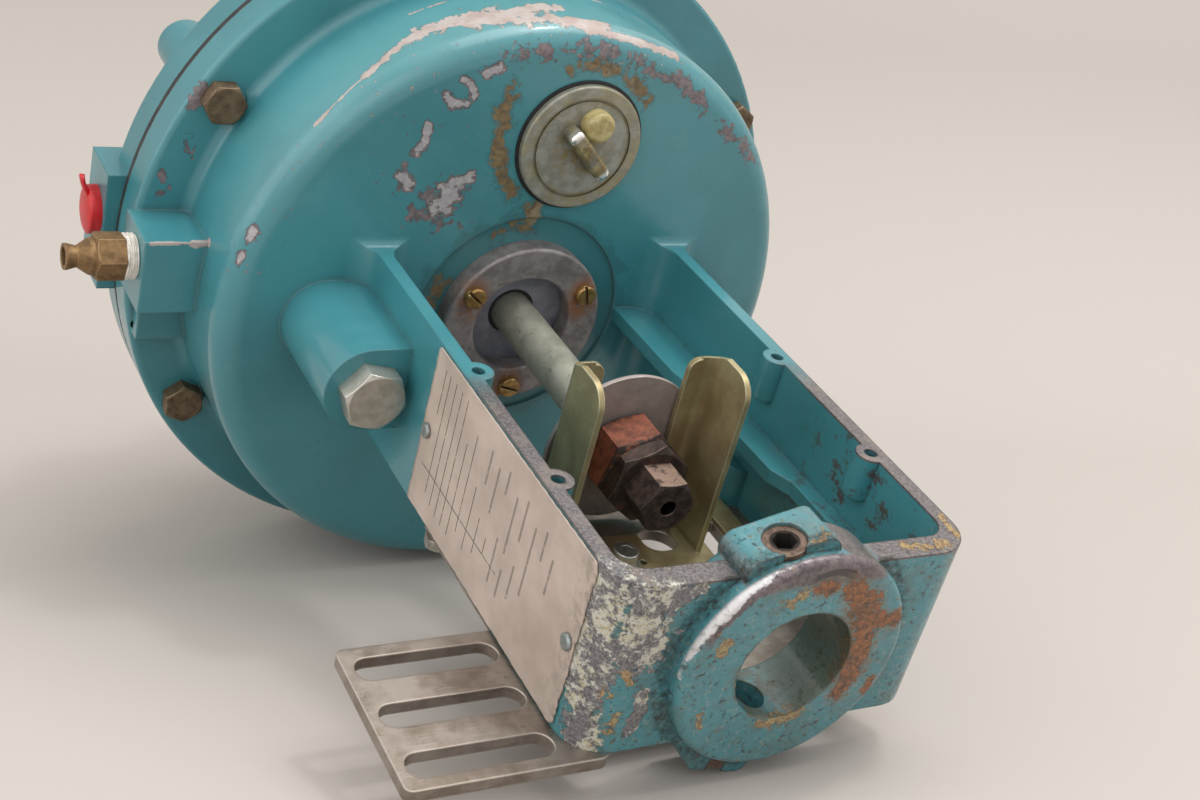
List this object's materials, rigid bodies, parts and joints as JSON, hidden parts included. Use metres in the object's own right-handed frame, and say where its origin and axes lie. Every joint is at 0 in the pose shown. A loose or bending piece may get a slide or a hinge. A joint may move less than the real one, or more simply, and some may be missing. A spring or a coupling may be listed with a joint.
{
  "type": "pneumatic valve actuator",
  "caption": "Spring-return diaphragm valve actuator with an open two-sided yoke, clamp collar, air port, stem with travel disc and feedback fork.",
  "frame": {"origin": "centre of the collar's mounting face, on the stem axis", "axes": "+Z along the stem from the collar to the diaphragm case, -Y out of the yoke's open side, -X on the nameplate and air port side"},
  "size_m": [0.2775, 0.253, 0.374],
  "materials": {
    "teal_front": "worn gloss teal paint on cast aluminium",
    "teal_rear": "worn gloss teal paint on cast aluminium",
    "case_bolt_steel": "tarnished brown yellow-zinc",
    "boss_bolt_zinc": "dull zinc",
    "set_screw_steel": "rusty",
    "retainer_grey": "dull cast",
    "gland_screw_brass": "tarnished",
    "bushing_grey": "satin",
    "black_rubber": "matte",
    "vent_zinc": "dull zinc plate with stains",
    "cream_plastic": "satin",
    "fitting_brass": "tarnished",
    "white_tape": "matte",
    "red_plastic": "gloss",
    "nameplate_metal": "satin with dark ruled lines",
    "rivet_aluminium": "satin",
    "bracket_steel": "worn",
    "bracket_screw_zinc": "dull zinc",
    "yellow_zinc": "yellow zinc plate",
    "bright_zinc": "bright zinc",
    "adjuster_steel": "tarnished zinc",
    "inner_steel": "clean",
    "stem_steel": "dull with grease film",
    "connector_steel": "dark oxide with worn flats",
    "jam_nut_steel": "dark oxide",
    "lock_nut_rusty": "red-brown rust",
    "disc_steel": "dull",
    "diaphragm_rubber": "matte",
    "inner_aluminium": "cast",
    "spring_steel": "satin"
  },
  "bodies": {
    "case": {"yoke_case": "teal_front", "rear_case": "teal_rear", "case_bolts": "case_bolt_steel", "side_boss_bolts": "boss_bolt_zinc", "collar_set_screws": "set_screw_steel", "seal_retainer": "retainer_grey", "gland_screws": "gland_screw_brass", "stem_bushing": "bushing_grey", "stem_wiper": "black_rubber", "stem_seal": "black_rubber", "vent_gasket": "black_rubber", "air_fitting": "fitting_brass", "thread_tape": "white_tape", "port_plug": "red_plastic", "nameplate": "nameplate_metal", "nameplate_rivets": "rivet_aluminium", "slotted_bracket": "bracket_steel", "bracket_screws": "bracket_screw_zinc", "feedback_fork": "yellow_zinc", "fork_washer": "bright_zinc", "fork_cap_screw": "bright_zinc", "fork_nut": "bright_zinc", "spring_adjuster": "adjuster_steel", "adjuster_nut": "adjuster_steel", "spring_seat": "inner_steel", "diaphragm": "diaphragm_rubber", "return_spring": "spring_steel"},
    "stem_group": {"stem": "stem_steel", "stem_connector": "connector_steel", "jam_nut": "jam_nut_steel", "lock_nut": "lock_nut_rusty", "travel_disc": "disc_steel", "diaphragm_washer": "inner_steel", "diaphragm_plate": "inner_aluminium", "stem_nut": "inner_steel"},
    "vent": {"vent_plug": "vent_zinc", "vent_button": "cream_plastic"}
  },
  "joints": [
    {"name": "stem_slide", "type": "slide", "parent": "case", "child": "stem_group", "axis": [0, 0, 1], "range_m": [0, 0.02], "stiffness_N_per_m": 60000, "springref_m": -0.008, "deforming": ["return_spring", "diaphragm"]},
    {"name": "vent_turn", "type": "hinge", "parent": "case", "child": "vent", "pos_m": [0.008, -0.0674, 0.187], "axis": [0, 0, -1], "range_deg": [0, 90]}
  ]
}
